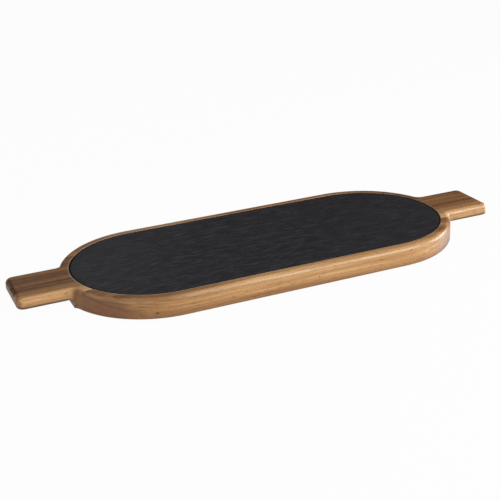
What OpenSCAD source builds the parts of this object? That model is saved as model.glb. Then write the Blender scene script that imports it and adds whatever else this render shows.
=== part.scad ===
// Long oval serving board: an edge-glued acacia board with two slim end
// handles, a slate plate lying loose in a recess, and four small feet.
// Millimetres. X runs along the length, Z is up, and the origin is on the
// standing surface under the middle of the board.

/* [Board] */
// Length of the rounded body, without the handles
body_l = 406; // [330:2:520]
// Width of the body
body_w = 180; // [150:5:230]
// Thickness of the wood
board_t = 20.5; // [18:0.5:28]
// Round-over along every upper edge
top_round = 5; // [3:0.5:6]
// Smaller round-over along every lower edge, under the handles too
under_round = 3; // [1.5:0.5:3.5]

/* [Handles] */
// How far each handle reaches past the end of the body
handle_reach = 47; // [30:1:80]
// Width of a handle
handle_w = 57; // [45:1:80]
// Thickness of a handle, flush with the top of the body
handle_t = 12; // [10.5:0.5:14]
// Corner radius at the tip of a handle, seen from above
tip_corner_r = 7; // [6.5:0.5:14]
// Fillet between the side of a handle and the round end of the body
root_fillet_r = 6; // [4:0.5:12]
// Distance from the start of that fillet to the milled step underneath
step_offset = 2; // [0.5:0.5:3]
// Cove in the inner corner of the milled step
cove_r = 5; // [2:0.5:6]

/* [Recess] */
// Width of the wooden rim round the recess
rim_w = 10; // [8:0.5:20]
// Depth of the recess
recess_depth = 5.2; // [4:0.2:8]
// Chamfer on the upper edge of the recess
recess_chamfer = 0.4; // [0.3:0.1:1]
// Width of the push-out hole in the floor of the recess
push_hole_d = 28; // [22:1:40]
// Chamfer on the lower edge of the push-out hole
push_hole_chamfer = 1; // [0.5:0.1:2]

/* [Slate] */
// Thickness of the slate plate
slate_t = 5; // [3:0.2:7]
// Clearance between the slate and the wall of the recess
slate_clear = 0.9; // [0.5:0.1:1.5]
// Chamfer along the upper and lower edges of the slate
slate_chamfer = 0.5; // [0.2:0.1:1]

/* [Feet] */
// Width of a foot
foot_d = 10; // [8:1:14]
// Height of a foot
foot_h = 2; // [1.5:0.5:4]
// Rounding of the lower edge of a foot
foot_round = 1.2; // [0.5:0.1:1.4]
// From the end of the body to the middle of a foot
foot_inset_x = 63; // [50:1:90]
// From the side of the body to the middle of a foot
foot_inset_y = 25; // [20:1:35]

/* [Hidden] */
$fn = 96;

// Steps round each end of the plan, and round each small arc and edge
turn_steps = 18;
edge_steps = 4;

// How far a cutting shape runs past the faces that it cuts
overrun = 1;

// Widths of the glued staves, from front to rear, as shares of the width
stave_shares = [50 / 180, 45 / 180, 42 / 180, 43 / 180];

// Heights
wood_z = foot_h;
top_z = wood_z + board_t;
handle_z = top_z - handle_t;
recess_z = top_z - recess_depth;

// Plan of the body: a straight middle with a half circle at each end
end_r = body_w / 2;
straight_half = body_l / 2 - end_r;
tip_x = body_l / 2 + handle_reach;

// Plan of a handle's root: centre of its fillet, and where the fillet leaves the body
root_a = asin((handle_w / 2 + root_fillet_r) / (end_r + root_fillet_r));
fillet_x = straight_half + (end_r + root_fillet_r) * cos(root_a);
fillet_y = handle_w / 2 + root_fillet_r;
leave_x = straight_half + end_r * cos(root_a);
step_x = leave_x + step_offset;

// Plan of a handle's tip: centre of its rear corner
corner_x = tip_x - tip_corner_r;
corner_y = handle_w / 2 - tip_corner_r;

recess_r = end_r - rim_w;
slate_r = recess_r - slate_clear;

// Where the glue line in front of stave number i lies; the outer staves run out
function share_sum(i) = i == 0 ? 0 : stave_shares[i - 1] + share_sum(i - 1);
function stave_y(i) = -end_r + body_w * share_sum(i);
function strip_low(i) = i == 0 ? stave_y(i) - overrun : stave_y(i);
function strip_high(i) = i == len(stave_shares) - 1 ? stave_y(i + 1) + overrun : stave_y(i + 1);

// Points along an arc about a centre; a fillet leaves out the point it shares with the body
function arc_points(centre, r, from_a, to_a, steps, first = 0, last = 0) = [
    for (k = [first:steps - last]) let(a = from_a + (to_a - from_a) * k / steps) centre + r * [cos(a), sin(a)]
];

// Right half of the plan, drawn in by an inset, from the front round to the rear
function end_points(inset) = concat(
    arc_points([straight_half, 0], end_r - inset, -90, -root_a, turn_steps),
    arc_points([fillet_x, -fillet_y], root_fillet_r + inset, 180 - root_a, 90, edge_steps, first = 1),
    arc_points([corner_x, -corner_y], tip_corner_r - inset, -90, 0, edge_steps),
    arc_points([corner_x, corner_y], tip_corner_r - inset, 0, 90, edge_steps),
    arc_points([fillet_x, fillet_y], root_fillet_r + inset, 270, 180 + root_a, edge_steps, last = 1),
    arc_points([straight_half, 0], end_r - inset, root_a, 90, turn_steps)
);
function plan_points(inset) = concat(end_points(inset), [for (p = end_points(inset)) -p]);

// Inset and height of each ring up a plate's edge, round-overs included
function edge_rings(low_z, high_z) = concat(
    [for (k = [0:edge_steps]) let(a = 90 * k / edge_steps)
        [under_round * (1 - sin(a)), low_z + under_round * (1 - cos(a))]],
    [for (k = [0:edge_steps]) let(a = 90 * k / edge_steps)
        [top_round * (1 - cos(a)), high_z - top_round * (1 - sin(a))]]
);

// Plate with the plan of body and handles, lofted up through its rounded edges
module routed_plate(low_z, high_z) {
    rings = edge_rings(low_z, high_z);
    last = len(rings) - 1;
    count = len(plan_points(0));
    points = [for (ring = rings) for (p = plan_points(ring[0])) [p[0], p[1], ring[1]]];
    bottom = [for (i = [0:count - 1]) i];
    top = [for (i = [count - 1:-1:0]) last * count + i];
    sides = [for (k = [0:last - 1]) for (i = [0:count - 1]) let(n = (i + 1) % count)
        [k * count + i, (k + 1) * count + i, (k + 1) * count + n, k * count + n]];
    polyhedron(points, concat(sides, [bottom, top]), convexity = 4);
}

// A section carried round the oval of the body, from its middle out to its edge
module oval() {
    translate([-straight_half, 0, 0]) rotate([90, 0, 90]) linear_extrude(2 * straight_half) {
        children();
        mirror([1, 0]) children();
    }
    for (side = [0, 180]) rotate([0, 0, side]) translate([straight_half, 0, 0])
        rotate([0, 0, -90]) rotate_extrude(angle = 180) children();
}

// Pocket for the slate, with its chamfered upper edge
module recess() {
    oval() polygon([
        [0, recess_z], [recess_r, recess_z], [recess_r, top_z - recess_chamfer],
        [recess_r + recess_chamfer, top_z], [recess_r + recess_chamfer, top_z + overrun], [0, top_z + overrun]
    ]);
}

// Hole through the floor of the recess, to push the slate up from below
module push_hole() {
    translate([0, 0, wood_z - overrun]) cylinder(d = push_hole_d, h = board_t);
    translate([0, 0, wood_z])
        cylinder(d1 = push_hole_d + 2 * push_hole_chamfer, d2 = push_hole_d, h = push_hole_chamfer);
}

// Cove left by the cutter in the corner under a handle, between its round-overs
module cove() {
    half_y = handle_w / 2 - under_round;
    translate([step_x, half_y, handle_z]) rotate([90, 0, 0]) linear_extrude(2 * half_y) difference() {
        translate([0, -cove_r]) square(cove_r);
        translate([cove_r, -cove_r]) circle(r = cove_r);
    }
}

// Block between two glue lines and two places along the board
module block(from_y, to_y, from_x, to_x) {
    translate([from_x, from_y, 0]) cube([to_x - from_x, to_y - from_y, top_z + overrun]);
}

// One stave: full thickness between the milled steps, thinner along the handles
module stave_between(from_y, to_y) {
    far_x = tip_x + overrun;
    difference() {
        intersection() {
            routed_plate(wood_z, top_z);
            block(from_y, to_y, -step_x, step_x);
        }
        recess();
        push_hole();
    }
    if (from_y < fillet_y && to_y > -fillet_y) {
        intersection() {
            routed_plate(handle_z, top_z);
            union() {
                block(from_y, to_y, step_x, far_x);
                block(from_y, to_y, -far_x, -step_x);
            }
        }
        for (side = [0, 180]) intersection() {
            rotate([0, 0, side]) cove();
            block(from_y, to_y, -far_x, far_x);
        }
    }
}

// Stave number i; one in the front half is a rear one turned end for end
module stave(i) {
    if (stave_y(i) + stave_y(i + 1) < 0) rotate([0, 0, 180]) stave_between(-strip_high(i), -strip_low(i));
    else stave_between(strip_low(i), strip_high(i));
}

// What rounding takes off a lower edge at the origin, seen in section
module edge_waste(r) {
    difference() {
        translate([-r, -overrun]) square([r + overrun, r + overrun]);
        translate([-r, r]) circle(r = r);
    }
}

module stave_front() {
    color([0.70, 0.50, 0.31]) stave(0);
}

module stave_inner_front() {
    color([0.47, 0.32, 0.21]) stave(1);
}

module stave_inner_rear() {
    color([0.43, 0.29, 0.20]) stave(2);
}

module stave_rear() {
    color([0.50, 0.36, 0.25]) stave(3);
}

// Sawn slate, its edges eased, lying on the floor of the recess
module slate_plate() {
    color([0.16, 0.16, 0.18]) oval() polygon([
        [0, recess_z], [slate_r - slate_chamfer, recess_z], [slate_r, recess_z + slate_chamfer],
        [slate_r, recess_z + slate_t - slate_chamfer], [slate_r - slate_chamfer, recess_z + slate_t],
        [0, recess_z + slate_t]
    ]);
}

// Soft stick-on foot at one corner; the lower edge is rounded
module foot(side_x, side_y) {
    place_x = side_x * (body_l / 2 - foot_inset_x);
    place_y = side_y * (end_r - foot_inset_y);
    color([0.80, 0.80, 0.78]) translate([place_x, place_y, 0]) rotate_extrude() difference() {
        square([foot_d / 2, foot_h]);
        translate([foot_d / 2, 0]) edge_waste(foot_round);
    }
}

module foot_front_left() {
    foot(-1, -1);
}

module foot_front_right() {
    foot(1, -1);
}

module foot_rear_left() {
    foot(-1, 1);
}

module foot_rear_right() {
    foot(1, 1);
}

stave_front();
stave_inner_front();
stave_inner_rear();
stave_rear();
slate_plate();
foot_front_left();
foot_front_right();
foot_rear_left();
foot_rear_right();
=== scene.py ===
import math

import bmesh
import bpy
from mathutils import Matrix, Vector


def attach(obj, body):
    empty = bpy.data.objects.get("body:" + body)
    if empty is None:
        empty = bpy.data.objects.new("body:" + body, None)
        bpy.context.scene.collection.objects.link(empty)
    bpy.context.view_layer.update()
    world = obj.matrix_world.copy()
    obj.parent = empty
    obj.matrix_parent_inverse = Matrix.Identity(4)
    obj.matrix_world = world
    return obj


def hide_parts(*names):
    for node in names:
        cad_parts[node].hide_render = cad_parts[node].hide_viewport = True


# Slate serving board: four acacia staves, a loose slate plate and four silicone feet,
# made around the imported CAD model. Everything is in metres.

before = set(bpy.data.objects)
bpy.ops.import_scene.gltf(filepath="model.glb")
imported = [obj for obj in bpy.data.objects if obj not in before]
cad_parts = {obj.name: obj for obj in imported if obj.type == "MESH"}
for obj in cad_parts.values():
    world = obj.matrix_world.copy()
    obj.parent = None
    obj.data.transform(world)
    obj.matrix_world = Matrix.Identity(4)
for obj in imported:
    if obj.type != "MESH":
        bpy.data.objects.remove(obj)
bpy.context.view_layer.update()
print("frame loaded:", ", ".join(sorted(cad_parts)))

mm = 0.001
scene = bpy.context.scene


# Small helpers that every piece shares

class Wire:
    # An output socket that takes part in sums; each sum adds a Math node
    def __init__(self, graph, socket):
        self.graph, self.socket = graph, socket

    def __add__(self, other):
        return self.graph.maths("ADD", self, other)

    def __radd__(self, other):
        return self.graph.maths("ADD", other, self)

    def __sub__(self, other):
        return self.graph.maths("SUBTRACT", self, other)

    def __rsub__(self, other):
        return self.graph.maths("SUBTRACT", other, self)

    def __mul__(self, other):
        return self.graph.maths("MULTIPLY", self, other)

    def __rmul__(self, other):
        return self.graph.maths("MULTIPLY", other, self)

    def __truediv__(self, other):
        return self.graph.maths("DIVIDE", self, other)

    def __pow__(self, other):
        return self.graph.maths("POWER", self, other)

    def swing(self, size):
        # A noise from 0 to 1 as a swing of so much about 0
        return (self - 0.5) * size


class Graph:
    # A node tree; node() makes any node from its type, its settings and its sockets
    def __init__(self, tree):
        self.tree = tree

    def node(self, kind, settings=None, sockets=None, out=0):
        made = self.tree.nodes.new(kind)
        for name, value in (settings or {}).items():
            if name == "stops":
                self.setStops(made.color_ramp, value)
            else:
                setattr(made, name, value)
        self.fill(made, sockets or {})
        return Wire(self, made.outputs[out])

    def fill(self, made, sockets):
        # Links or sets these sockets of a node
        for key, value in sockets.items():
            if isinstance(value, Wire):
                self.tree.links.new(value.socket, made.inputs[key])
            else:
                made.inputs[key].default_value = value

    def end(self, kind, wire):
        # The tree's own output node
        self.tree.links.new(wire.socket, self.tree.nodes.new(kind).inputs[0])

    def setStops(self, ramp, stops):
        while len(ramp.elements) < len(stops):
            ramp.elements.new(1.0)
        for element, (place, colour) in zip(ramp.elements, stops):
            element.position = place
            element.color = (*colour, 1.0)

    def output(self, wire, name):
        # Another output of the node that a wire comes from
        return Wire(self, wire.socket.node.outputs[name])

    def maths(self, operation, *values):
        return self.node("ShaderNodeMath", {"operation": operation}, dict(enumerate(values)))

    def join(self, x, y, z):
        return self.node("ShaderNodeCombineXYZ", sockets={0: x, 1: y, 2: z})

    def split(self, vector):
        first = self.node("ShaderNodeSeparateXYZ", sockets={0: vector})
        return [Wire(self, s) for s in first.socket.node.outputs]

    def rise(self, value, low, high, *fall):
        # Smooth step from 0 at low to 1 at high, and down to 0 again between two more numbers
        up = self.node("ShaderNodeMapRange", {"interpolation_type": "SMOOTHSTEP"},
                       {0: value, 1: low, 2: high, 3: 0.0, 4: 1.0})
        return up * (1 - self.rise(value, *fall)) if fall else up

    def perMetre(self, point, run, shift):
        # Texture coordinates with so many cycles per metre along each axis, moved by a shift
        axes = [axis * times for axis, times in zip(point, run)]
        return self.join(*[axis + by if by else axis for axis, by in zip(axes, shift)])

    def noise(self, point, run, shift=(0.0, 0.0, 0.0), detail=2.0, roughness=0.5, distortion=0.0):
        return self.node("ShaderNodeTexNoise", sockets={
            "Vector": self.perMetre(point, run, shift), "Scale": 1.0, "Detail": detail,
            "Roughness": roughness, "Distortion": distortion})

    def specks(self, point, run, core, chance, channel, shift=(0.0, 0.0, 0.0)):
        # Spots strewn at random; core is how far one reaches, and chance picks those that show
        cells = self.node("ShaderNodeTexVoronoi", {"feature": "F1"},
                          {"Vector": self.perMetre(point, run, shift), "Scale": 1.0})
        few = self.rise(self.split(self.output(cells, "Color"))[channel], *chance)
        return (1 - self.rise(cells, *core)) * few

    def mixColour(self, share, first, second):
        return self.node("ShaderNodeMix", {"data_type": "RGBA"}, {0: share, 6: first, 7: second}, out=2)

    def stain(self, colour, cover, share, tint):
        # Lays a share of a tint over a colour, where cover says
        return self.mixColour(cover * share, colour, tint)

    def bump(self, height, strength):
        return self.node("ShaderNodeBump", sockets={"Strength": strength, "Distance": 1.0, "Height": height})


def newMaterial(name):
    # A material, its graph and its Principled shader
    material = bpy.data.materials.new(name)
    material.use_nodes = True
    nodes = material.node_tree.nodes
    return material, Graph(material.node_tree), nodes["Principled BSDF"]


def newObject(name, data):
    made = bpy.data.objects.new(name, data)
    scene.collection.objects.link(made)
    return made


def settled(obj, name):
    # The object's evaluated shape as a plain mesh, with no modifier left
    bpy.context.view_layer.update()
    mesh = bpy.data.meshes.new_from_object(obj.evaluated_get(bpy.context.evaluated_depsgraph_get()))
    mesh.name = name
    obj.modifiers.clear()
    obj.data = mesh
    return obj


def grownBy(tree, values, name):
    # Runs a Geometry Nodes tree with these input values and keeps the plain mesh
    obj = newObject(name, bpy.data.meshes.new(name))
    modifier = obj.modifiers.new(name, "NODES")
    modifier.node_group = tree
    for item in tree.interface.items_tree:
        if item.in_out == "INPUT":
            modifier[item.identifier] = values[item.name]
    return settled(obj, name)


def newShapeTree(name, values):
    # An empty Geometry Nodes tree with one named input for each value; its graph and those inputs
    tree = bpy.data.node_groups.new(name, "GeometryNodeTree")
    tree.interface.new_socket(name="Geometry", in_out="OUTPUT", socket_type="NodeSocketGeometry")
    for label, value in values.items():
        kind = "NodeSocketInt" if isinstance(value, int) else "NodeSocketFloat"
        tree.interface.new_socket(name=label, in_out="INPUT", socket_type=kind)
    graph = Graph(tree)
    entry = tree.nodes.new("NodeGroupInput")
    return graph, {label: Wire(graph, entry.outputs[label]) for label in values}


def endShapeTree(graph, geometry, material):
    whole = graph.node("GeometryNodeRealizeInstances", sockets={0: geometry})
    painted = graph.node("GeometryNodeSetMaterial", sockets={0: whole, 2: material})
    graph.end("NodeGroupOutput", painted)


def fromMiddle(g, x, y, straightHalf):
    # Distance from the middle line of an oval, which ends at the centres of its round ends
    past = g.maths("MAXIMUM", g.maths("ABSOLUTE", x) - straightHalf, 0.0)
    return (past * past + y * y) ** 0.5


# Camera, at the photograph's viewing angle

cameraSet = {
    "place": (-379.16 * mm, -873.15 * mm, 398.12 * mm),
    "ahead": (0.35804, 0.85399, -0.37749),
    "right": (0.91511, -0.40123, -0.03973),
    "lens": 74.383, "sensor": 36,
}


def setCamera(settings):
    data = bpy.data.cameras.new("camera")
    data.lens = settings["lens"]
    data.sensor_width = settings["sensor"]
    camera = newObject("camera", data)
    back = -Vector(settings["ahead"]).normalized()
    right = Vector(settings["right"])
    right = (right - back * right.dot(back)).normalized()
    turn = Matrix((right, back.cross(right), back)).transposed()
    camera.location = settings["place"]
    camera.rotation_euler = turn.to_euler()
    scene.camera = camera


setCamera(cameraSet)
print("camera set")


# The board: four glued staves with a round-over, a recess, a push-out hole and
# handles thinned from below. Its wood and its slate follow these sizes too.

board = {
    "straightHalf": 113 * mm, "endRadius": 90 * mm, "tip": 250 * mm, "handleHalf": 28.5 * mm,
    "tipCorner": 7 * mm, "rootFillet": 6 * mm, "stepPast": 2 * mm, "cove": 5 * mm,
    "under": 2 * mm, "top": 22.5 * mm, "handleUnder": 10.5 * mm,  # heights
    "topRound": 5 * mm, "underRound": 3 * mm,
    "recessRadius": 80 * mm, "recessFloor": 17.3 * mm, "recessEase": 0.4 * mm,
    "holeRadius": 14 * mm, "holeEase": 1 * mm, "holeTopEase": 0.3 * mm,
    # Steps round the curves and along the straights
    "turnSteps": 72, "smallSteps": 12, "straightSteps": 46, "handleSteps": 8, "ovalSteps": 96,
    "easeSteps": 4, "holeSteps": 96, "coveSteps": 20,
    # Points closer than this are one point: where shells meet, where a handle is closed, elsewhere
    "weld": 2e-6, "near": 1e-6, "touch": 1e-7,
    "sharpAngle": 32, "normalWeight": 90,
}


# Acacia: colour, pores and relief follow one log per stave, so that they run through
# the top, the sides and the end grain alike.

wood = {
    "heart": [(0.0, (0.080, 0.032, 0.011)), (0.35, (0.175, 0.076, 0.026)),
              (0.65, (0.290, 0.140, 0.053)), (1.0, (0.440, 0.232, 0.098))],
    "sap": [(0.0, (0.260, 0.124, 0.045)), (0.4, (0.390, 0.202, 0.078)),
            (0.7, (0.520, 0.294, 0.124)), (1.0, (0.680, 0.435, 0.212))],
    "red": (0.260, 0.090, 0.034, 1.0),
    # painted shade under the handles
    "handleShadeColour": (0.085, 0.042, 0.020, 1.0),

    # Stains, wear, and painted light and shade (low edge, recess edge and recess walls): the share of each
    # and its colour
    "stainsAndPaintedLight": {
        "pore": (0.60, (0.020, 0.009, 0.005, 1.0)),
        "soaked": (0.80, (0.040, 0.014, 0.005, 1.0)),
        "worn": (0.12, (0.72, 0.50, 0.29, 1.0)),
        "lowEdgeShade": (0.44, (0.160, 0.062, 0.024, 1.0)),
        "arrisHighlight": (0.70, (0.46, 0.39, 0.33, 1.0)),
        "recess": (0.88, (0.030, 0.016, 0.009, 1.0)),
        "knot": (0.85, (0.045, 0.020, 0.010, 1.0)),
        "glue": (0.75, (0.045, 0.020, 0.010, 1.0)),
    },

    # Noises drawn out along the grain, in cycles per metre along and across it
    "grain": {
        "sway": {"along": 5.0, "across": 14.0, "shift": 3.1, "roughness": 0.5},
        "ripple": {"along": 24.0, "across": 60.0, "shift": 7.7, "roughness": 0.5},
        "streak": {"along": 9.0, "across": 620.0, "shift": 1.3, "roughness": 0.6},
        "fibre": {"along": 30.0, "across": 2600.0, "shift": 5.9, "roughness": 0.6},
        "redBands": {"along": 3.0, "across": 70.0, "shift": 9.2, "roughness": 0.5},
        "soakedPatches": {"along": 40.0, "across": 160.0, "shift": 2.2, "roughness": 0.5},
        "wornPatches": {"along": 26.0, "across": 190.0, "shift": 4.4, "roughness": 0.5},
        "arrisPatches": {"along": 9.0, "across": 25.0, "shift": 6.6, "roughness": 0.5},
    },

    # Rings, in cycles per band and per metre along the board, then curl and pores
    "broad": {"run": (1.0, 1.6, 0.0), "roughness": 0.55},
    "narrow": {"run": (5.2, 4.0, 0.0), "detail": 3.0, "roughness": 0.6},
    "narrowFrom": 2.0,
    "curl": {"run": (75.0, 34.0, 34.0), "distortion": 0.8},
    "pores": {"run": (85.0, 1000.0, 1000.0), "core": (0.12, 0.30), "chance": (0.38, 0.60), "channel": 0},

    # How far each of them moves the tone, which runs from 0 to 1 over the stops of heart and sap
    "tone": {"broad": 1.10, "narrow": 0.95, "streak": 1.15, "fibre": 0.58, "shadedHeart": 0.63},
    "liftFrom": 14 * mm, "liftTo": 19 * mm, "sapWaver": 4 * mm,

    # Masks: from where to where each rises, and then falls. They read places in metres, how far
    # the surface faces along X or up, from -1 to 1, or a noise.
    "masks": {
        "redBands": (0.46, 0.70),
        "endOn": (0.20, 0.70), "rightRoot": (0.160, 0.180, 0.198, 0.206), "rootTop": (0.20, 0.55),
        "pastLeftTip": (-0.235, -0.225), "paleEnd": (-0.05, 0.15),
        "soakedEnd": (0.05, 0.35), "soakedSide": (0.20, 0.45), "soakedTop": (0.90, 0.99),
        "soakedPatches": (0.30, 0.55),
        "roundOver": (0.12, 0.55, 0.80, 0.985), "wornPatches": (0.40, 0.62),
        "underside": (0.0, 0.50), "aboveHandleShade": (12.2 * mm, 15.0 * mm), "handles": (0.198, 0.208),
        "aboveLow": (2.5 * mm, 12.5 * mm), "notUnder": (-0.85, -0.30),
        "pastArris": (0.6 * mm, 1.4 * mm), "outOfRecess": (-0.3 * mm, 0.0), "arrisPatches": (0.30, 0.56),
        "arrisRight": (-0.15, 0.05), "arrisRear": (-0.03, 0.03),
        "rimTop": (board["top"] - 0.5 * mm, board["top"] - 0.2 * mm),
        "recessWall": (-1.5 * mm, -0.2 * mm, 0.1 * mm, 0.3 * mm),
        "aboveFloor": (board["recessFloor"] - 1.0 * mm, board["recessFloor"]),
        "offGlue": (0.06 * mm, 0.22 * mm), "offGroove": (0.04 * mm, 0.2 * mm),
        "rightEnd": (0.10, 0.15),
    },
    "rootLess": 0.42, "tipSapLess": 0.55,  # end grain lost beside the right root and at the left tip
    "arrisFade": 0.55, "knotStretch": 0.35, "knotCore": 0.35,

    # Finish
    "roughness": {"base": 0.43, "root": 0.08, "broad": 0.12, "fibre": 0.18, "pore": 0.25,
                  "worn": 0.08, "soaked": 0.25},
    "coat": {"base": 0.06, "right": 0.36, "worn": 0.10, "roughness": 0.36},
    "specular": 0.36,
    "relief": {"fibre": 0.045 * mm, "streak": 0.04 * mm, "pore": 0.09 * mm, "glue": 0.06 * mm,
               "sanded": 0.70, "strength": 0.85},
}


class WoodGraph(Graph):
    # The graph of one stave's wood, with its log and the place and facing of a point on it
    def __init__(self, tree, log):
        super().__init__(tree)
        coords = self.node("ShaderNodeTexCoord", out="Object")
        self.log, self.seed = log, log["seed"]
        self.point = self.split(coords)
        self.facing = self.split(self.output(coords, "Normal"))
        self.glueLines = [place for place in (log["from"], log["to"]) if place is not None]

    def grain(self, kind):
        # One of the noises that are drawn out along the grain
        given = wood["grain"][kind]
        run = (given["along"], given["across"] * self.log["layers"], given["across"])
        shift = (self.seed + given["shift"], given["shift"], -given["shift"])
        return self.noise(self.point, run, shift, roughness=given["roughness"])

    def mask(self, value, kind):
        return self.rise(value, *wood["masks"][kind])

    def patches(self, kind):
        return self.mask(self.grain(kind), kind)

    def overlaid(self, colour, cover, kind):
        return self.stain(colour, cover, *wood["stainsAndPaintedLight"][kind])


def ringRadius(g):
    # Distance from the log's pith, which leans a little along the board; the rings wave too
    x, y, z = g.point
    log = g.log
    sway = g.grain("sway").swing(2 * log["sway"])
    ripple = g.grain("ripple").swing(2 * log["ripple"])
    offY = y - log["pith"][0] - x * log["lean"][0]
    offZ = z - log["pith"][1] - x * log["lean"][1]
    return (offY * offY + offZ * offZ) ** 0.5 + sway + ripple


def heartAndSap(g, radius, broad, narrow, streak, fibre):
    # Heartwood with sapwood outside it; returns the colour and a mask of the sapwood
    x, _, z = g.point
    log, moves = g.log, wood["tone"]
    curl = g.noise(g.point, shift=(g.seed, 0.0, 0.0), **wood["curl"])
    tone = broad.swing(moves["broad"]) + narrow.swing(moves["narrow"]) + streak.swing(moves["streak"])
    tone = tone + fibre.swing(moves["fibre"]) + curl.swing(log["curl"])

    # Its shade darkens a stave towards the left, and elsewhere it is paler towards its top, a painted
    # shading
    shaded = 1 - g.rise(x, log["shadeTo"], log["shadeFrom"])
    raised = g.maths("MINIMUM", z, wood["liftTo"]) - wood["liftFrom"]
    tone = tone + raised * log["lift"] * (1 - shaded) - shaded * log["shade"]

    # The border wavers with the narrow rings, and past it the sapwood pales towards the bark
    edge = radius + narrow.swing(wood["sapWaver"])
    pale = g.maths("MAXIMUM", edge - log["sapFrom"], 0.0) * log["paling"]
    inner = tone + shaded * (log["shade"] * moves["shadedHeart"]) + log["heartLevel"]
    heart = g.node("ShaderNodeValToRGB", {"stops": wood["heart"]}, {0: inner})
    sap = g.node("ShaderNodeValToRGB", {"stops": wood["sap"]}, {0: tone + log["sapLevel"] + pale})
    outer = g.rise(edge, log["sapFrom"] - log["sapSoft"], log["sapFrom"] + log["sapSoft"])
    colour = g.mixColour(outer, heart, sap)

    # Reddish bands that come and go along the stave
    return g.stain(colour, g.patches("redBands"), log["red"], wood["red"]), outer


def endGrain(g, colour, outer, root, leftTip):
    # End grain is dark with oil on the left and pale on the right, where the pale tone is partly its own and
    # partly a painted sheen.
    # Less of it shows beside the root of the right handle, and in the sapwood of the left tip.
    log = g.log
    nx, _, nz = g.facing
    cover = g.mask(g.maths("ABSOLUTE", nx), "endOn")
    cover = cover * (1 - root * (wood["rootLess"] + (1 - wood["rootLess"]) * g.mask(nz, "rootTop")))
    cover = cover * (1 - leftTip * outer * wood["tipSapLess"])
    endTone = g.mixColour(g.mask(g.point[0], "paleEnd"), log["endDark"], log["endPaleAndSheen"])
    return g.mixColour(cover * log["endShare"], colour, endTone)


def soakedTip(g, outer, leftTip):
    # Where oil has soaked into the heartwood of the left tip, in patches along its round-over
    nx, _, nz = g.facing
    soaked = g.mask(0 - nx, "soakedEnd") * g.mask(nz, "soakedSide") * (1 - g.mask(nz, "soakedTop"))
    return soaked * leftTip * g.patches("soakedPatches") * (1 - outer)


def darkened(g, colour):
    # Painted shade darkens the lower part and the underside of the handles, and the sides towards their
    # lower edge
    x, _, z = g.point
    nz = g.facing[2]
    # painted shade on the lower part and the underside of each handle
    handleShade = g.maths("MAXIMUM", g.mask(0 - nz, "underside"), 1 - g.mask(z, "aboveHandleShade"))
    handleShade = handleShade * g.mask(g.maths("ABSOLUTE", x), "handles")
    colour = g.stain(colour, handleShade, g.log["handleShade"], wood["handleShadeColour"])
    # painted shade along the lower edge of the sides
    return g.overlaid(colour, (1 - g.mask(z, "aboveLow")) * g.mask(nz, "notUnder"), "lowEdgeShade")


def recessColour(g, colour):
    # A painted highlight runs along the sharp upper edge of the recess, most at the left and the front
    x, y, z = g.point
    fromRecess = fromMiddle(g, x, y, board["straightHalf"]) - board["recessRadius"]
    arrisHighlight = (1 - g.mask(fromRecess, "pastArris")) * g.mask(z, "rimTop")
    arrisHighlight = arrisHighlight * g.mask(fromRecess, "outOfRecess") * g.patches("arrisPatches")
    for place, kind in ((x, "arrisRight"), (y, "arrisRear")):
        arrisHighlight = arrisHighlight * (1 - g.mask(place, kind) * wood["arrisFade"])
    colour = g.overlaid(colour, arrisHighlight, "arrisHighlight")

    # Painted shade darkens its walls, standing in for the shade in the narrow gap round the slate
    walls = g.mask(fromRecess, "recessWall") * (1 - g.mask(z, "rimTop")) * g.mask(z, "aboveFloor")
    return g.overlaid(colour, walls, "recess")


def knotsAndGlue(g, colour):
    # Small knots, and a dark hairline where two staves are glued
    x, y, z = g.point
    for (kx, ky, kz), size in g.log["knots"]:
        apart = (x - kx) * (x - kx) * wood["knotStretch"] + (y - ky) * (y - ky) + (z - kz) * (z - kz)
        knot = 1 - g.rise(apart ** 0.5, size * wood["knotCore"], size)
        colour = g.overlaid(colour, knot, "knot")
    for place in g.glueLines:
        line = 1 - g.mask(g.maths("ABSOLUTE", y - place), "offGlue")
        colour = g.overlaid(colour, line, "glue")
    return colour


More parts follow.
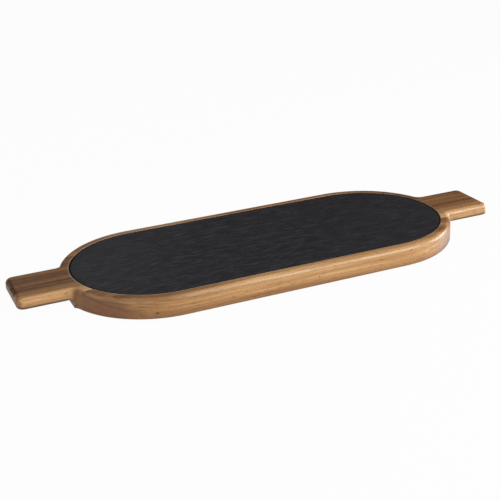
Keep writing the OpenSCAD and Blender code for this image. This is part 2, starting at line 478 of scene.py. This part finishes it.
def acacia(name, log):
    material, plain, shader = newMaterial(name)
    g = WoodGraph(plain.tree, log)
    x, y, z = g.point
    nz = g.facing[2]

    # Broad and narrow rings, streaks and fibres; a flat-sawn stave has its layers lying flat
    radius = ringRadius(g)
    layer = radius * log["layers"] + (z + log["layerFrom"]) * (1 - log["layers"])
    band = layer * log["bands"]
    broad = g.noise((band, x, 0.0), shift=(0.0, g.seed, 0.0), **wood["broad"])
    narrow = g.noise((band, x, 0.0), shift=(0.0, g.seed, wood["narrowFrom"]), **wood["narrow"])
    streak = g.grain("streak")
    fibre = g.grain("fibre")
    colour, outer = heartAndSap(g, radius, broad, narrow, streak, fibre)

    # Pores: short dark dashes along the grain, dots on end grain
    pore = g.specks(g.point, shift=(g.seed, 0.0, 0.0), **wood["pores"])
    colour = g.overlaid(colour, pore, "pore")

    root = g.mask(x, "rightRoot")
    leftTip = 1 - g.mask(x, "pastLeftTip")
    colour = endGrain(g, colour, outer, root, leftTip)
    soaked = soakedTip(g, outer, leftTip)
    colour = g.overlaid(colour, soaked, "soaked")

    # The upper round-overs are worn a little paler, in patches
    roundOver = g.mask(nz, "roundOver")
    worn = roundOver * g.patches("wornPatches")
    colour = g.overlaid(colour, worn, "worn")
    colour = darkened(g, colour)
    colour = recessColour(g, colour)
    colour = knotsAndGlue(g, colour)

    # Oiled satin, glossier on the round-overs at the right
    rough = wood["roughness"]
    dull = rough["base"] + roundOver * root * rough["root"] + broad.swing(rough["broad"])
    dull = dull + fibre.swing(rough["fibre"]) + pore * rough["pore"]
    dull = dull - worn * rough["worn"] + soaked * rough["soaked"]
    coat = wood["coat"]
    gloss = g.mask(x, "rightEnd") * coat["right"] * (1 - root)

    # Open grain and pores, sanded smoother on the round-overs, and a faint groove at the glue
    relief = wood["relief"]
    height = fibre.swing(relief["fibre"]) + streak.swing(relief["streak"]) - pore * relief["pore"]
    height = height * (1 - roundOver * relief["sanded"])
    for place in g.glueLines:
        line = 1 - g.mask(g.maths("ABSOLUTE", y - place), "offGroove")
        height = height - line * relief["glue"]

    g.fill(shader, {
        "Base Color": colour, "Roughness": dull, "Specular IOR Level": wood["specular"],
        "Coat Weight": roundOver * (coat["base"] + gloss + worn * coat["worn"]),
        "Coat Roughness": coat["roughness"], "Normal": g.bump(height, relief["strength"])})
    return material


# Shape of the board

def quarterTurns(steps):
    return [math.radians(90 * k / steps) for k in range(steps + 1)]


def arcPoints(centre, radius, start, end, steps):
    turns = [math.radians(start + (end - start) * k / steps) for k in range(steps + 1)]
    return [(centre[0] + radius * math.cos(a), centre[1] + radius * math.sin(a)) for a in turns]


def linePoints(start, end, steps):
    # Points between two others, without the two themselves
    return [(start[0] + (end[0] - start[0]) * k / steps, start[1] + (end[1] - start[1]) * k / steps)
            for k in range(1, steps)]


def rootAngle():
    # Where a handle's root fillet touches the round end of the body, as an angle about its centre
    b = board
    return math.asin((b["handleHalf"] + b["rootFillet"]) / (b["endRadius"] + b["rootFillet"]))


def boardOutline(inset):
    # Plan of board and handles, drawn in by an inset; counter-clockwise
    b = board
    root = math.degrees(rootAngle())
    end = (b["straightHalf"], 0)
    fx = b["straightHalf"] + (b["endRadius"] + b["rootFillet"]) * math.cos(math.radians(root))
    fy = b["handleHalf"] + b["rootFillet"]
    cx, cy = b["tip"] - b["tipCorner"], b["handleHalf"] - b["tipCorner"]
    wide, side, tip = b["endRadius"] - inset, b["handleHalf"] - inset, b["tip"] - inset
    fillet, corner = b["rootFillet"] + inset, b["tipCorner"] - inset
    turn, small, along = b["turnSteps"], b["smallSteps"], b["handleSteps"]
    half = arcPoints(end, wide, -90, -root, turn)
    half += arcPoints((fx, -fy), fillet, 180 - root, 90, small)[1:]
    half += linePoints((fx, -side), (cx, -side), along)
    half += arcPoints((cx, -cy), corner, -90, 0, small)
    half += linePoints((tip, -cy), (tip, cy), along)
    half += arcPoints((cx, cy), corner, 0, 90, small)
    half += linePoints((cx, side), (fx, side), along)
    half += arcPoints((fx, fy), fillet, 270, 180 + root, small)[:-1]
    half += arcPoints(end, wide, root, 90, turn)
    half += linePoints((b["straightHalf"], wide), (-b["straightHalf"], wide), b["straightSteps"])
    return half + [(-px, -py) for px, py in half]


def ovalOutline(radius):
    long = board["straightHalf"]
    half = arcPoints((long, 0), radius, -90, 90, board["ovalSteps"])
    half += linePoints((long, radius), (-long, radius), board["straightSteps"])
    return half + [(-px, -py) for px, py in half]


def circleOutline(radius):
    return arcPoints((0, 0), radius, 0, 360, board["holeSteps"])[:-1]


def skin(mesh, rings):
    # Quads between closed rings, each a list of plan points and a height
    rows = [[mesh.verts.new((px, py, height)) for px, py in points] for points, height in rings]
    for low, high in zip(rows, rows[1:]):
        for k in range(len(low)):
            n = (k + 1) % len(low)
            mesh.faces.new((low[k], low[n], high[n], high[k]))


def roundRings(low, high, extra=()):
    # Insets and heights up an edge that is rounded below and above
    under, over = board["underRound"], board["topRound"]
    turns = quarterTurns(board["smallSteps"])
    rings = [(under * (1 - math.sin(a)), low + under * (1 - math.cos(a))) for a in turns]
    rings += [(0.0, height) for height in extra]
    rings += [(over * (1 - math.cos(a)), high - over * (1 - math.sin(a))) for a in turns]
    return rings


def fillFlat(mesh, edges, facing):
    bmesh.ops.triangle_fill(mesh, use_beauty=True, use_dissolve=False, edges=edges, normal=facing)


def cutAway(mesh, place, away, fill=False):
    # Cuts along a plane and removes what lies on the side that away points to
    cut = bmesh.ops.bisect_plane(mesh, geom=mesh.verts[:] + mesh.edges[:] + mesh.faces[:],
                                 dist=board["touch"], plane_co=place, plane_no=away, clear_outer=True)
    if fill:
        fillFlat(mesh, [e for e in cut["geom_cut"] if isinstance(e, bmesh.types.BMEdge)], away)


def addShell(target, rings, cuts):
    part = bmesh.new()
    skin(part, [(boardOutline(inset), height) for inset, height in rings])
    for place, away in cuts:
        cutAway(part, place, away)
    holder = bpy.data.meshes.new("shell")
    part.to_mesh(holder)
    part.free()
    target.from_mesh(holder)
    bpy.data.meshes.remove(holder)


def openEdges(mesh, test):
    return [e for e in mesh.edges if len(e.link_faces) == 1 and all(test(v.co) for v in e.verts)]


def openCount(mesh):
    return sum(1 for e in mesh.edges if len(e.link_faces) != 2)


def closeHandle(mesh, side, stepX):
    # The milled step under a handle, with a cove in its corner, and the handle's underside
    b = board
    near = b["near"]
    flat = b["handleHalf"] - b["underRound"]
    onStep = openEdges(mesh, lambda p: abs(p.x - side * stepX) < near)
    under = openEdges(mesh, lambda p: abs(p.z - b["handleUnder"]) < near and p.x * side > stepX - near)
    points = {v for e in onStep for v in e.verts}
    low = sorted((v for v in points if abs(v.co.z - b["under"]) < near), key=lambda v: v.co.y)
    high = sorted((v for v in points if abs(v.co.z - b["handleUnder"]) < near), key=lambda v: v.co.y)
    rows = []
    for k in range(b["coveSteps"] + 1):
        y = -flat + 2 * flat * k / b["coveSteps"]
        rows.append([mesh.verts.new((side * (stepX + b["cove"] * (1 - math.cos(a))), y,
                                     b["handleUnder"] - b["cove"] * (1 - math.sin(a))))
                     for a in quarterTurns(b["smallSteps"])])
    for one, two in zip(rows, rows[1:]):
        for k in range(b["smallSteps"]):
            mesh.faces.new((one[k], one[k + 1], two[k + 1], two[k]))
    corners = [mesh.verts.new((side * stepX, y, b["handleUnder"])) for y in (-flat, flat)]
    base = mesh.edges.new((low[0], low[-1]))
    ledges = [mesh.edges.new((high[0], corners[0])), mesh.edges.new((corners[1], high[-1]))]
    drops = [mesh.edges.new((corners[0], rows[0][0])), mesh.edges.new((corners[1], rows[-1][0]))]
    runs = [mesh.edges.new((corners[0], rows[0][-1])), mesh.edges.new((corners[1], rows[-1][-1]))]
    footEdges = [mesh.edges.get((one[0], two[0])) for one, two in zip(rows, rows[1:])]
    headEdges = [mesh.edges.get((one[-1], two[-1])) for one, two in zip(rows, rows[1:])]
    fillFlat(mesh, onStep + [base] + ledges + drops + footEdges, (side, 0, 0))
    fillFlat(mesh, under + ledges + runs + headEdges, (0, 0, -1))
    for row, drop, run, facing in ((rows[0], drops[0], runs[0], -1), (rows[-1], drops[1], runs[1], 1)):
        curve = [mesh.edges.get((p, q)) for p, q in zip(row, row[1:])]
        fillFlat(mesh, curve + [drop, run], (0, facing, 0))


def boardShape():
    b = board
    stepX = b["straightHalf"] + b["endRadius"] * math.cos(rootAngle()) + b["stepPast"]
    shared = b["handleUnder"] + b["underRound"]  # a ring that body and handles have in common
    mesh = bmesh.new()
    addShell(mesh, roundRings(b["under"], b["top"], [shared]),
             [((stepX, 0, 0), (1, 0, 0)), ((-stepX, 0, 0), (-1, 0, 0))])
    for side in (1, -1):
        addShell(mesh, roundRings(b["handleUnder"], b["top"]), [((side * stepX, 0, 0), (-side, 0, 0))])
    bmesh.ops.remove_doubles(mesh, verts=mesh.verts[:], dist=b["weld"])
    for side in (1, -1):
        closeHandle(mesh, side, stepX)

    # Recess and push-out hole, with their edges eased
    ease = b["recessEase"]
    wall = [(ovalOutline(b["recessRadius"] + ease * (1 - math.sin(a))), b["top"] - ease * (1 - math.cos(a)))
            for a in quarterTurns(b["easeSteps"])]
    skin(mesh, wall + [(ovalOutline(b["recessRadius"]), b["recessFloor"])])
    skin(mesh, [(circleOutline(b["holeRadius"] + b["holeTopEase"]), b["recessFloor"]),
                (circleOutline(b["holeRadius"]), b["recessFloor"] - b["holeTopEase"]),
                (circleOutline(b["holeRadius"]), b["under"] + b["holeEase"]),
                (circleOutline(b["holeRadius"] + b["holeEase"]), b["under"])])
    for level, facing in ((b["top"], 1), (b["recessFloor"], 1), (b["under"], -1)):
        fillFlat(mesh, openEdges(mesh, lambda p: abs(p.z - level) < b["touch"]), (0, 0, facing))
    bmesh.ops.remove_doubles(mesh, verts=mesh.verts[:], dist=b["touch"])
    bmesh.ops.recalc_face_normals(mesh, faces=mesh.faces[:])
    print("board shape:", len(mesh.faces), "faces,", openCount(mesh), "open edges")
    return mesh


# The staves. Each is cut out of the board between from and to, which are places in y, and has
# its own log. The pith is at (y, z) and leans by so much per metre. Sapwood begins at sapFrom
# from the pith and pales by so much per metre, and layers under 1 flattens the rings. Lift is
# how much paler the wood gets per metre of height, a painted shading, and a knot is a place and a radius.

plainLog = {  # what a log has unless its stave says otherwise
    "layers": 1.0, "layerFrom": 0.0, "shade": 0.0, "shadeFrom": -0.1, "shadeTo": -0.2, "handleShade": 0.0,
    "knots": [],
}

staves = {
    "stave_front": {
        "slot": "acacia_front", "from": None, "to": -40 * mm, "seed": 3.7,
        "pith": (0.045, -0.015), "lean": (0.006, 0.004), "sway": 0.0030, "ripple": 0.0009,
        "layers": 0.24, "layerFrom": 0.01, "bands": 95.0, "curl": 0.10, "red": 0.55,
        "lift": 14.0, "shade": 0.30, "shadeFrom": -0.045, "shadeTo": -0.160,
        "heartLevel": 0.60, "sapLevel": 0.51, "sapFrom": 0.122, "sapSoft": 0.0055, "paling": 4.0,
        "endShare": 0.46, "endDark": (0.225, 0.105, 0.046, 1.0), "endPaleAndSheen": (0.500, 0.400, 0.340, 1.0),
        "knots": [((-0.1395, -0.0860, 0.0084), 0.0012), ((0.018, -0.090, 0.0115), 0.0008)]},
    "stave_inner_front": {
        "slot": "acacia_inner_front", "from": -40 * mm, "to": 5 * mm, "seed": 11.2,
        "pith": (0.075, 0.048), "lean": (0.004, -0.006), "sway": 0.0012, "ripple": 0.0006,
        "bands": 120.0, "curl": 0.12, "red": 0.15, "lift": 14.0, "handleShade": 0.88,
        "heartLevel": 0.33, "sapLevel": 0.14, "sapFrom": 0.0955, "sapSoft": 0.0012, "paling": 34.0,
        "endShare": 0.92, "endDark": (0.225, 0.102, 0.042, 1.0), "endPaleAndSheen": (0.840, 0.720, 0.620, 1.0),
        "knots": [((0.2349, -0.0030, 0.0222), 0.0013), ((0.2322, -0.0088, 0.0224), 0.0009)]},
    "stave_inner_rear": {
        "slot": "acacia_inner_rear", "from": 5 * mm, "to": 47 * mm, "seed": 19.5,
        "pith": (-0.030, -0.055), "lean": (-0.005, 0.007), "sway": 0.0026, "ripple": 0.0007,
        "bands": 110.0, "curl": 0.12, "red": 0.10, "lift": 0.0, "handleShade": 0.60,
        "heartLevel": 0.34, "sapLevel": 0.42, "sapFrom": 0.200, "sapSoft": 0.0012, "paling": 0.0,
        "endShare": 0.40, "endDark": (0.280, 0.120, 0.044, 1.0), "endPaleAndSheen": (0.800, 0.660, 0.540, 1.0)},
    "stave_rear": {
        "slot": "acacia_rear", "from": 47 * mm, "to": None, "seed": 27.9,
        "pith": (0.020, -0.050), "lean": (0.007, 0.003), "sway": 0.0028, "ripple": 0.0008,
        "bands": 100.0, "curl": 0.20, "red": 0.25, "lift": 6.0,
        "heartLevel": 0.60, "sapLevel": 0.50, "sapFrom": 0.097, "sapSoft": 0.0020, "paling": 6.0,
        "endShare": 0.30, "endDark": (0.225, 0.105, 0.046, 1.0), "endPaleAndSheen": (0.800, 0.660, 0.540, 1.0)},
}


def cutStave(whole, name, settings):
    part = whole.copy()
    if settings["to"] is not None:
        cutAway(part, (0, settings["to"], 0), (0, 1, 0), fill=True)
    if settings["from"] is not None:
        cutAway(part, (0, settings["from"], 0), (0, -1, 0), fill=True)
    bmesh.ops.recalc_face_normals(part, faces=part.faces[:])
    loose = openCount(part)
    mesh = bpy.data.meshes.new(name)
    part.to_mesh(mesh)
    part.free()
    mesh.shade_smooth()
    mesh.set_sharp_from_angle(angle=math.radians(board["sharpAngle"]))
    made = newObject("wood_" + name, mesh)
    mesh.materials.append(acacia(settings["slot"], settings))
    even = made.modifiers.new("even normals", "WEIGHTED_NORMAL")
    even.keep_sharp = True
    even.weight = board["normalWeight"]
    settled(made, name)
    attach(made, "board")
    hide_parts(name)
    print(name + ":", len(made.data.polygons), "faces,", loose, "open edges")


wholeBoard = boardShape()
for staveName, staveSet in staves.items():
    cutStave(wholeBoard, staveName, {**plainLog, **staveSet})
wholeBoard.free()


# The slate: an oval plate, riven on top and sawn round its edge

slate = {
    "inputs": {
        "Straight half": board["straightHalf"], "Radius": 79.1 * mm, "Thickness": 5 * mm,
        "Base": board["recessFloor"], "Edge": 0.5 * mm, "Relief": 0.36 * mm, "Edge wear": 0.22 * mm,
        "Seed": 6.0, "Along": 220, "Across": 200,
    },
    "levels": 8, "sharpAngle": 34,

    # Wear along the edge, and long waves over the top
    "nibbles": {"run": (170.0, 170.0, 1.0), "detail": 3.0, "roughness": 0.6}, "nibbleLevel": 0.35,
    "waves": {"run": (7.0, 17.0, 0.0), "detail": 3.0}, "waveShare": 0.45, "rippleShare": 0.55,

    # Crescent ripples: how they bend, how many there are per metre, and where they show
    "bend": {"run": (22.0, 30.0, 0.0)}, "bendBy": 5.0, "ripples": 165.0,
    "patches": {"run": (66.0, 95.0, 0.0)}, "patchShift": 5.0, "patchSpan": (0.36, 0.60),
    "rippleLevel": 1.15, "rippleFade": 0.6, "fadeSpan": (0.0, 0.12),

    # Colour and finish; sawn and glint are a share and a colour
    "colours": [(0.0, (0.0150, 0.0140, 0.0165)), (0.5, (0.0250, 0.0230, 0.0270)),
                (1.0, (0.0430, 0.0410, 0.0460))],
    "cloud": {"run": (9.0, 14.0, 9.0), "shift": (0.0, 0.0, 4.0), "detail": 4.0, "roughness": 0.6},
    "flake": {"run": (60.0, 190.0, 190.0), "detail": 4.0, "roughness": 0.62, "distortion": 0.6},
    "grit": {"run": (1500.0, 1500.0, 1500.0), "roughness": 0.6},
    "mica": {"run": (420.0, 420.0, 420.0), "core": (0.06, 0.16), "chance": (0.93, 0.99), "channel": 1},
    "tone": {"base": 0.33, "cloud": 0.3, "flake": 1.6, "grit": 1.8, "ripple": 0.52},
    "facingUp": (0.80, 0.97), "offEdge": (0.5 * mm, 1.1 * mm),
    # the sawn tint is painted shade of the gap round the plate
    "sawn": (0.85, (0.005, 0.005, 0.006, 1.0)), "glint": (0.5, (0.16, 0.16, 0.17, 1.0)),
    "roughness": {"base": 0.46, "flake": 0.24, "grit": 0.15, "sawn": 0.4, "glint": 0.2},
    "specular": 0.20,
    "bump": {"flake": 0.40 * mm, "grit": 0.05 * mm, "strength": 0.8},
}


def rivenRipple(g, x, y, seed):
    # Short crescent ripples across the split face: 0 in a hollow, about 1 on a crest, and
    # half as strong on the right
    bend = g.noise((x, y, 0.0), shift=(0.0, 0.0, seed), **slate["bend"]).swing(slate["bendBy"])
    swell = 0.5 + 0.5 * g.maths("SINE", (y * slate["ripples"] + bend) * (2 * math.pi))
    patches = g.noise((x, y, 0.0), shift=(0.0, 0.0, seed + slate["patchShift"]), **slate["patches"])
    fade = slate["rippleLevel"] - g.rise(x, *slate["fadeSpan"]) * slate["rippleFade"]
    return swell * g.rise(patches, *slate["patchSpan"]) * fade


def slateMaterial():
    material, g, shader = newMaterial("riven slate")
    coords = g.node("ShaderNodeTexCoord", out="Object")
    point = g.split(coords)
    x, y, _ = point
    nz = g.split(g.output(coords, "Normal"))[2]
    given = slate["inputs"]

    # Clouds, flakes, grit and a few glints of mica, with the ripple crests painted paler as a painted sheen
    cloud = g.noise(point, **slate["cloud"])
    flake = g.noise(point, **slate["flake"])
    grit = g.noise(point, **slate["grit"])
    glint = g.specks(point, **slate["mica"])
    moves = slate["tone"]
    tone = moves["base"] + cloud.swing(moves["cloud"]) + flake.swing(moves["flake"])
    tone = tone + grit.swing(moves["grit"]) + rivenRipple(g, x, y, given["Seed"]) * moves["ripple"]
    colour = g.node("ShaderNodeValToRGB", {"stops": slate["colours"]}, {0: tone})

    # The sawn edge is duller, and it and a narrow band of the top beside it are painted near black: painted
    # shade of the gap round the plate
    fromEdge = given["Radius"] - fromMiddle(g, x, y, given["Straight half"])
    sawn = g.maths("MAXIMUM", 1 - g.rise(nz, *slate["facingUp"]), 1 - g.rise(fromEdge, *slate["offEdge"]))
    colour = g.stain(colour, sawn, *slate["sawn"])
    colour = g.stain(colour, glint, *slate["glint"])

    rough = slate["roughness"]
    dull = rough["base"] + flake.swing(rough["flake"]) + grit.swing(rough["grit"])
    dull = dull + sawn * rough["sawn"] - glint * rough["glint"]
    relief = slate["bump"]
    height = flake.swing(relief["flake"]) + grit.swing(relief["grit"])
    g.fill(shader, {"Base Color": colour, "Roughness": dull, "Specular IOR Level": slate["specular"],
                    "Normal": g.bump(height, relief["strength"])})
    return material


def slateTree(material):
    g, given = newShapeTree("slate plate", slate["inputs"])
    block = g.node("GeometryNodeMeshCube", sockets={
        "Size": (2.0, 2.0, 2.0), "Vertices X": given["Along"], "Vertices Y": given["Across"],
        "Vertices Z": slate["levels"]})
    u, v, w = g.split(g.node("GeometryNodeInputPosition"))
    rim = g.maths("GREATER_THAN", g.maths("ABSOLUTE", w), 0.9)  # 1 on the top and the bottom
    above = g.maths("GREATER_THAN", w, 0.0)
    turn = v * (math.pi / 2)

    # The sawn edge is eased by hand, a little more here than there
    ax = u * (given["Straight half"] + given["Radius"] * g.maths("COSINE", turn))
    ay = given["Radius"] * g.maths("SINE", turn)
    nibble = g.noise((ax, ay, w), shift=(given["Seed"], 0.0, 0.0), **slate["nibbles"])
    inset = rim * (given["Edge"] + (nibble - slate["nibbleLevel"]) * given["Edge wear"] * above)
    radius = given["Radius"] - inset
    px = u * (given["Straight half"] + radius * g.maths("COSINE", turn))
    py = radius * g.maths("SINE", turn)

    # The levels next to the top and the bottom stand where the easing ends
    spread = (slate["levels"] - 1) / (slate["levels"] - 3)
    half = given["Thickness"] * 0.5
    height = half + w * spread * (half - given["Edge"]) * (1 - rim) + g.maths("SIGN", w) * half * rim

    # Riven face: long shallow waves with short crescent steps across them
    wave = g.noise((px, py, 0.0), shift=(given["Seed"], 0.0, 0.0), **slate["waves"])
    ripple = rivenRipple(g, px, py, given["Seed"])
    drop = given["Relief"] * (slate["waveShare"] * wave + slate["rippleShare"] * (1 - ripple)) * rim * above
    moved = g.node("GeometryNodeSetPosition", sockets={
        "Geometry": block, "Position": g.join(px, py, given["Base"] + height - drop)})
    smooth = g.node("GeometryNodeSetShadeSmooth", sockets={0: moved, 2: True})
    endShapeTree(g, smooth, material)
    return g.tree


slatePlate = grownBy(slateTree(slateMaterial()), slate["inputs"], "slate_riven")
slatePlate.data.set_sharp_from_angle(angle=math.radians(slate["sharpAngle"]))
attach(slatePlate, "slate")
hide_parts("slate_plate")
print("slate:", len(slatePlate.data.polygons), "faces")


# Feet: four clear silicone bumpers stuck to the underside

feet = {
    "inputs": {
        "Diameter": 10 * mm, "Height": 2 * mm, "Rounding": 1.2 * mm, "Groove": 0.12 * mm,
        "Apart X": 280 * mm, "Apart Y": 130 * mm,
    },
    "round": 64, "levels": 16, "rings": 6, "sharpAngle": 40,
    "grooveFrom": (0.80, 0.86), "grooveTo": (0.90, 0.96),  # as shares of the levels
    "clear": (0.80, 0.82, 0.81, 1.0), "dusty": (0.52, 0.50, 0.47, 1.0),
    "haze": {"run": (500.0, 500.0, 500.0), "detail": 3.0, "roughness": 0.6},
    "dust": {"run": (2600.0, 2600.0, 2600.0), "roughness": 0.6}, "dustSpan": (0.62, 0.74),
    "dulled": {"dust": 0.5, "haze": 0.2},
    "roughness": {"base": 0.30, "haze": 0.20, "dust": 0.25},
    "bump": {"haze": 0.04 * mm, "dust": 0.02 * mm, "strength": 0.5},
    "refraction": 1.41, "seeThrough": 0.55,
}


def siliconeMaterial():
    material, g, shader = newMaterial("clear silicone")
    point = g.split(g.node("ShaderNodeTexCoord", out="Object"))
    haze = g.noise(point, **feet["haze"])
    dust = g.rise(g.noise(point, **feet["dust"]), *feet["dustSpan"])
    dulled, rough, relief = feet["dulled"], feet["roughness"], feet["bump"]
    share = dust * dulled["dust"] + haze * dulled["haze"]
    height = haze * relief["haze"] + dust * relief["dust"]
    g.fill(shader, {
        "Base Color": g.mixColour(share, feet["clear"], feet["dusty"]),
        "Roughness": rough["base"] + haze * rough["haze"] + dust * rough["dust"],
        "IOR": feet["refraction"], "Transmission Weight": feet["seeThrough"],
        "Normal": g.bump(height, relief["strength"])})
    return material


def feetTree(material):
    g, given = newShapeTree("feet", feet["inputs"])
    disc = g.node("GeometryNodeMeshCylinder", {"fill_type": "TRIANGLE_FAN"}, {
        "Vertices": feet["round"], "Side Segments": feet["levels"], "Fill Segments": feet["rings"],
        "Radius": 1.0, "Depth": 1.0})
    x, y, z = g.split(g.node("GeometryNodeInputPosition"))
    reach = g.maths("MINIMUM", (x * x + y * y) ** 0.5, 1.0)
    up = z + 0.5
    # The lower half of the levels turns through the rounding, the rest is straight
    part = g.maths("MINIMUM", up / 0.5, 1.0)
    swing = part * (math.pi / 2)
    side = given["Diameter"] * 0.5 - given["Rounding"] * (1 - g.maths("SINE", swing))
    curved = given["Rounding"] * (1 - g.maths("COSINE", swing))
    straight = g.maths("MAXIMUM", up - 0.5, 0.0) * 2 * (given["Height"] - given["Rounding"])
    grooved = side - given["Groove"] * (g.rise(up, *feet["grooveFrom"]) - g.rise(up, *feet["grooveTo"]))
    some = reach + 1e-6  # never 0, also in the middle of the disc
    shaped = g.node("GeometryNodeSetPosition", sockets={"Geometry": disc, "Position": g.join(
        x / some * grooved * reach, y / some * grooved * reach, curved + straight)})
    smooth = g.node("GeometryNodeSetShadeSmooth", sockets={0: shaped, 2: True})
    places = g.node("GeometryNodeMeshGrid", sockets={
        "Size X": given["Apart X"], "Size Y": given["Apart Y"], "Vertices X": 2, "Vertices Y": 2})
    four = g.node("GeometryNodeInstanceOnPoints", sockets={"Points": places, "Instance": smooth})
    endShapeTree(g, four, material)
    return g.tree


footSet = grownBy(feetTree(siliconeMaterial()), feet["inputs"], "silicone_feet")
footSet.data.set_sharp_from_angle(angle=math.radians(feet["sharpAngle"]))
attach(footSet, "board")
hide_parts("foot_front_left", "foot_front_right", "foot_rear_left", "foot_rear_right")
print("feet:", len(footSet.data.polygons), "faces")


# Floor, studio light and surroundings

studio = {
    "floorRadius": 9.0, "floorSteps": 96, "floorColour": (0.55, 0.55, 0.55, 1.0),
    "cameraShare": 0.97, "mirrorShare": 0.7,  # how white the floor is, seen and mirrored
    "worldLevel": 0.085, "white": (1.0, 1.0, 1.0, 1.0),
    "lamps": {
        "key in front": {"place": (0.64, -1.05, 0.60), "size": (0.6, 0.8), "watts": 15.9},
        "fill on the right": {"place": (1.15, -0.62, 0.40), "size": (0.7, 0.5), "watts": 2.6},
        "fill on the left": {"place": (-1.00, -0.90, 0.28), "size": (0.5, 0.3), "watts": 5.0},
        "box above": {"place": (-0.20, -0.20, 1.20), "size": (1.0, 1.0), "watts": 2.0},
        "side box on the right": {"place": (1.06, -0.06, 0.25), "size": (0.40, 0.22), "watts": 3.6},
        "side box on the left": {"place": (-0.98, 0.02, 0.50), "size": (0.4, 0.3), "watts": 0.9},
        "glow behind": {"place": (0.05, 1.45, 0.62), "size": (0.5, 0.3), "watts": 0.3},
    },
}


def setFloor():
    circle = bmesh.new()
    bmesh.ops.create_circle(circle, cap_ends=True, radius=studio["floorRadius"],
                            segments=studio["floorSteps"])
    mesh = bpy.data.meshes.new("floor")
    circle.to_mesh(mesh)
    circle.free()
    floor = newObject("floor", mesh)
    material, g, _ = newMaterial("pale floor")
    g.tree.nodes.clear()
    rays = g.node("ShaderNodeLightPath", out="Is Camera Ray")
    seen = g.maths("MAXIMUM", rays, g.output(rays, "Is Transmission Ray")) * studio["cameraShare"]
    seen = seen + g.output(rays, "Is Glossy Ray") * studio["mirrorShare"]
    matt = g.node("ShaderNodeBsdfDiffuse", sockets={"Color": studio["floorColour"]})
    glow = g.node("ShaderNodeEmission", sockets={"Color": studio["white"], "Strength": 1.0})
    g.end("ShaderNodeOutputMaterial", g.node("ShaderNodeMixShader", sockets={0: seen, 1: matt, 2: glow}))
    mesh.materials.append(material)


def setWorld():
    world = bpy.data.worlds.new("studio")
    world.use_nodes = True
    scene.world = world
    g = Graph(world.node_tree)
    g.tree.nodes.clear()
    rays = g.node("ShaderNodeLightPath", out="Is Camera Ray")
    seen = g.maths("MAXIMUM", rays, g.output(rays, "Is Transmission Ray"))
    level = studio["worldLevel"] + (1 - studio["worldLevel"]) * seen
    air = g.node("ShaderNodeBackground", sockets={"Color": studio["white"], "Strength": level})
    g.end("ShaderNodeOutputWorld", air)


def setLamps():
    for name, lamp in studio["lamps"].items():
        data = bpy.data.lights.new(name, "AREA")
        data.shape = "RECTANGLE"
        data.size, data.size_y = lamp["size"]
        data.energy = lamp["watts"]
        light = newObject(name, data)
        light.location = lamp["place"]
        light.rotation_euler = (-Vector(lamp["place"])).to_track_quat("-Z", "Y").to_euler()


setFloor()
setWorld()
setLamps()
scene.view_settings.view_transform = "Standard"
print("studio set")
